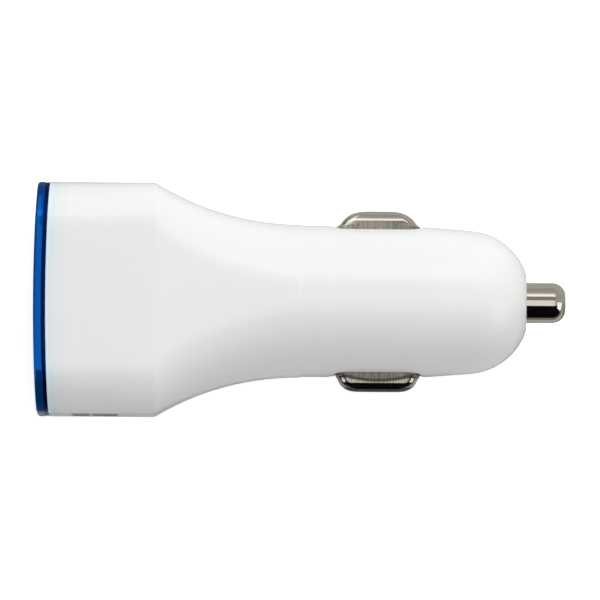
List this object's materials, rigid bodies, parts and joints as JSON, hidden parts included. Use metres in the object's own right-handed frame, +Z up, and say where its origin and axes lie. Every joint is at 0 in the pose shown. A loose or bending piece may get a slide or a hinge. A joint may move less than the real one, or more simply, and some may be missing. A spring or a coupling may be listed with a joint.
{
  "type": "car usb charger plug",
  "caption": "Plug-in car charger: rounded rectangular head with USB ports, taper to a round barrel with sprung side contacts, and a sprung centre pin at the nose.",
  "frame": {"origin": "centre of the bounding box at its lowest face, the head's broad side that the plug lies on", "axes": "+X from the port face along the plug's axis to the centre pin, +Y towards the upper side contact, +Z up, square to the head's broad faces"},
  "size_m": [0.0744, 0.0322, 0.0248],
  "materials": {
    "white_gloss": "glossy white moulded plastic",
    "blue_gloss": "glossy deep blue moulded plastic",
    "white_satin": "satin white moulded plastic",
    "clear_plastic": "clear polished light pipe",
    "tinned_steel": "bright tinned sheet",
    "insulator": "matt white thermoplastic",
    "gold_plate": "thin gold plating",
    "circuit_board": "green solder resist",
    "ferrite": "matt sintered ferrite",
    "copper_wire": "enamelled copper",
    "capacitor_sleeve": "dark shrink sleeve over a can",
    "chip_black": "matt black moulding compound",
    "fuse_ceramic": "glazed ceramic",
    "chip_grey": "fired thick film",
    "led_white": "moulded with a yellowish window",
    "brass_sheet": "bent sheet",
    "spring_steel": "drawn spring wire",
    "nickel_plate": "bright nickel plating"
  },
  "bodies": {
    "plug_body": {"housing": "white_gloss", "bezel_ring": "blue_gloss", "front_panel": "white_satin", "indicator_lens": "clear_plastic", "usb_shell_upper": "tinned_steel", "usb_shell_lower": "tinned_steel", "usb_insulator_upper": "insulator", "usb_insulator_lower": "insulator", "usb_contacts_upper": "gold_plate", "usb_contacts_lower": "gold_plate", "port_board": "circuit_board", "main_board": "circuit_board", "inductor_core": "ferrite", "inductor_winding": "copper_wire", "input_capacitor": "capacitor_sleeve", "output_capacitor": "capacitor_sleeve", "converter_chip": "chip_black", "port_chip": "chip_black", "rectifier_diode": "chip_black", "fuse": "fuse_ceramic", "chip_resistors": "chip_grey", "indicator_led": "led_white", "input_terminal": "brass_sheet", "pin_spring": "spring_steel"},
    "pin_body": {"centre_pin": "nickel_plate"},
    "upper_contact_body": {"side_contact_upper": "nickel_plate"},
    "lower_contact_body": {"side_contact_lower": "nickel_plate"}
  },
  "joints": [
    {"name": "pin_press", "type": "slide", "parent": "plug_body", "child": "pin_body", "axis": [-1, 0, 0], "range_m": [0, 0.003], "stiffness_N_per_m": 1500, "springref_m": -0.002, "deforming": ["pin_spring"]},
    {"name": "upper_contact_flex", "type": "hinge", "parent": "plug_body", "child": "upper_contact_body", "pos_m": [-0.00698, 0.00805, 0.0124], "axis": [0, 0, -1], "range_deg": [0, 8], "stiffness_Nm_per_rad": 0.8, "springref_deg": -1.72},
    {"name": "lower_contact_flex", "type": "hinge", "parent": "plug_body", "child": "lower_contact_body", "pos_m": [-0.00698, -0.00805, 0.0124], "axis": [0, 0, 1], "range_deg": [0, 8], "stiffness_Nm_per_rad": 0.8, "springref_deg": -1.72}
  ]
}
